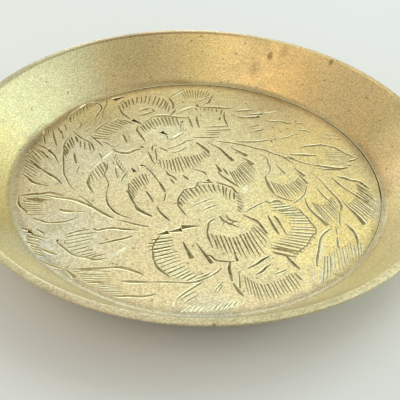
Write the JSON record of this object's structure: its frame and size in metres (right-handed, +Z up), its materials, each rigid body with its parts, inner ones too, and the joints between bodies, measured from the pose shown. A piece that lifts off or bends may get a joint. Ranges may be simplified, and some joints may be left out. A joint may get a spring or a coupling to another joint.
{
  "type": "catchall dish",
  "caption": "Shallow round brass catchall dish with a flat engraved floor, a sloping wall, a narrow level lip and a felt pad under it.",
  "frame": {"origin": "centre of the dish's underside, on the surface that it stands on", "axes": "+Z up along the dish's axis, +X to the right and -Y towards the viewer in the picture"},
  "size_m": [0.108, 0.108, 0.0131],
  "materials": {
    "brass": "satin, hand-engraved, lightly tarnished",
    "felt": "pressed wool felt"
  },
  "bodies": {
    "root": {"dish_body": "brass", "felt_pad": "felt"}
  },
  "joints": []
}
